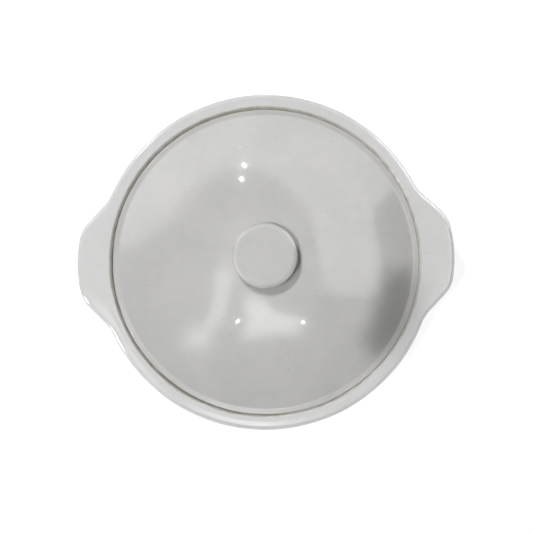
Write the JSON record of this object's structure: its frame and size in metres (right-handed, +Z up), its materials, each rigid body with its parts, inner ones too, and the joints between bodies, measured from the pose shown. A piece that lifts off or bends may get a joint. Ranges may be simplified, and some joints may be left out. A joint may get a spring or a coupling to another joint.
{
  "type": "covered casserole dish",
  "caption": "Round glazed porcelain casserole dish with a broad flat rim, lug handles and a shallow domed lid that sits in a recess in the rim and lifts off by its round knob.",
  "frame": {"origin": "centre of the foot ring's resting face, on the dish's axis", "axes": "+Z up along the dish's axis, +X along the two lugs"},
  "size_m": [0.2684, 0.24, 0.122],
  "materials": {
    "glaze": "glossy pale grey-white glaze, slightly uneven, with a few fine specks",
    "rim_glaze": "glossy pale grey-white glaze, thinner and tan along the gallery's edge, bare clay on the lid's ledge",
    "lid_glaze": "glossy pale grey-white glaze, thinner and tan along the lid's edge, bare clay on the seat below",
    "bare_foot": "glazed sides, bare fine-ground warm grey clay where the ring rests"
  },
  "bodies": {
    "dish": {"bowl": "glaze", "foot_ring": "bare_foot", "rim_flange": "rim_glaze", "right_lug": "rim_glaze", "left_lug": "rim_glaze"},
    "lid": {"lid_edge": "lid_glaze", "lid_dome": "lid_glaze", "knob_neck": "lid_glaze", "knob_disc": "lid_glaze"}
  },
  "joints": [
    {"name": "lid_lift", "type": "slide", "parent": "dish", "child": "lid", "axis": [0, 0, 1], "range_m": [0, 0.1]}
  ]
}
